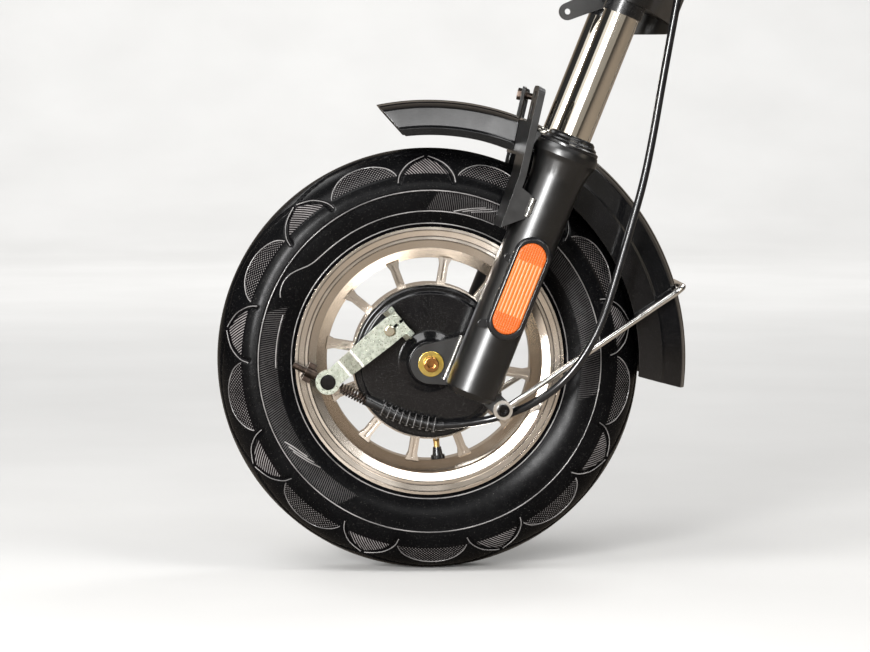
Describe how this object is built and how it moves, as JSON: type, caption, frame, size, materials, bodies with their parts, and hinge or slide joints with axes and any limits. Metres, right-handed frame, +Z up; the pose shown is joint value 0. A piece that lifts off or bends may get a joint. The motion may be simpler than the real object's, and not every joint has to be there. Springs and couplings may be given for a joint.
{
  "type": "front wheel and suspension fork assembly of an electric tricycle",
  "caption": "Small fat wheel in a raked telescopic fork: cast spoked rim, cable drum brake, chrome stanchions, two-piece mudguard with a bent stay, yoke and steerer tube",
  "frame": {"origin": "on the steering axis, half way up the bearing wall of the steerer, the mount that holds the part", "axes": "+X is forward, the way the vehicle rolls; +Y is the rider's left, along the axle; +Z is up. The steering axis leans back by 21.8 degrees"},
  "size_m": [0.4716, 0.1988, 0.6854],
  "materials": {
    "tyre": "matt rubber with moulded tread",
    "alloy": "polished and machined",
    "drum_iron": "turned",
    "bearing_steel": "ground",
    "rubber": "moulded black rubber",
    "brass_plate": "plated cap",
    "gloss_black": "gloss black enamel",
    "zinc_plate": "zinc plated",
    "dark_steel": "blackened",
    "sheath": "smooth black sheath",
    "satin_black": "satin black powder coat",
    "chrome": "hard chrome",
    "bright_steel": "bright drawn steel",
    "copper_plate": "copper-gold plated",
    "yellow_zinc": "yellow zinc plated",
    "guard_plastic": "moulded gloss black",
    "reflector_black": "moulded black",
    "reflector_orange": "clear orange lens over small prisms"
  },
  "bodies": {
    "fork": {"brake_plate": "gloss_black", "brake_arm": "zinc_plate", "brake_cam_shaft": "zinc_plate", "arm_pinch_bolt": "zinc_plate", "swivel_pin": "dark_steel", "cable_rod": "dark_steel", "wing_nut": "dark_steel", "arm_return_spring": "dark_steel", "cable_boot": "rubber", "brake_cable": "sheath", "cable_end": "bright_steel", "cable_guide": "dark_steel", "lower_leg_left": "satin_black", "lower_leg_right": "satin_black", "dust_seal_left": "rubber", "dust_seal_right": "rubber", "stanchion_left": "chrome", "stanchion_right": "chrome", "stanchion_band_left": "rubber", "stanchion_band_right": "rubber", "yoke": "satin_black", "steerer": "bright_steel", "bearing_race": "bearing_steel", "axle": "copper_plate", "axle_washer_left": "yellow_zinc", "axle_washer_right": "yellow_zinc", "axle_nut": "yellow_zinc", "axle_spacer": "bright_steel", "fork_bridge": "satin_black", "ear_bolt": "dark_steel", "mudguard_front": "guard_plastic", "mudguard_rear": "guard_plastic", "mudguard_stay": "bright_steel", "stay_screw_left": "dark_steel", "stay_screw_right": "dark_steel", "reflector_housing_left": "reflector_black", "reflector_housing_right": "reflector_black", "reflector_lens_left": "reflector_orange", "reflector_lens_right": "reflector_orange"},
    "wheel": {"tyre": "tyre", "wheel_casting": "alloy", "drum_liner": "drum_iron", "wheel_bearing_left": "bearing_steel", "wheel_bearing_right": "bearing_steel", "valve_foot": "rubber", "valve_cap": "brass_plate"}
  },
  "joints": [
    {"name": "wheel_spin", "type": "hinge", "parent": "fork", "child": "wheel", "pos_m": [0.23443, 0, -0.39413], "axis": [0, 1, 0], "continuous": true}
  ]
}
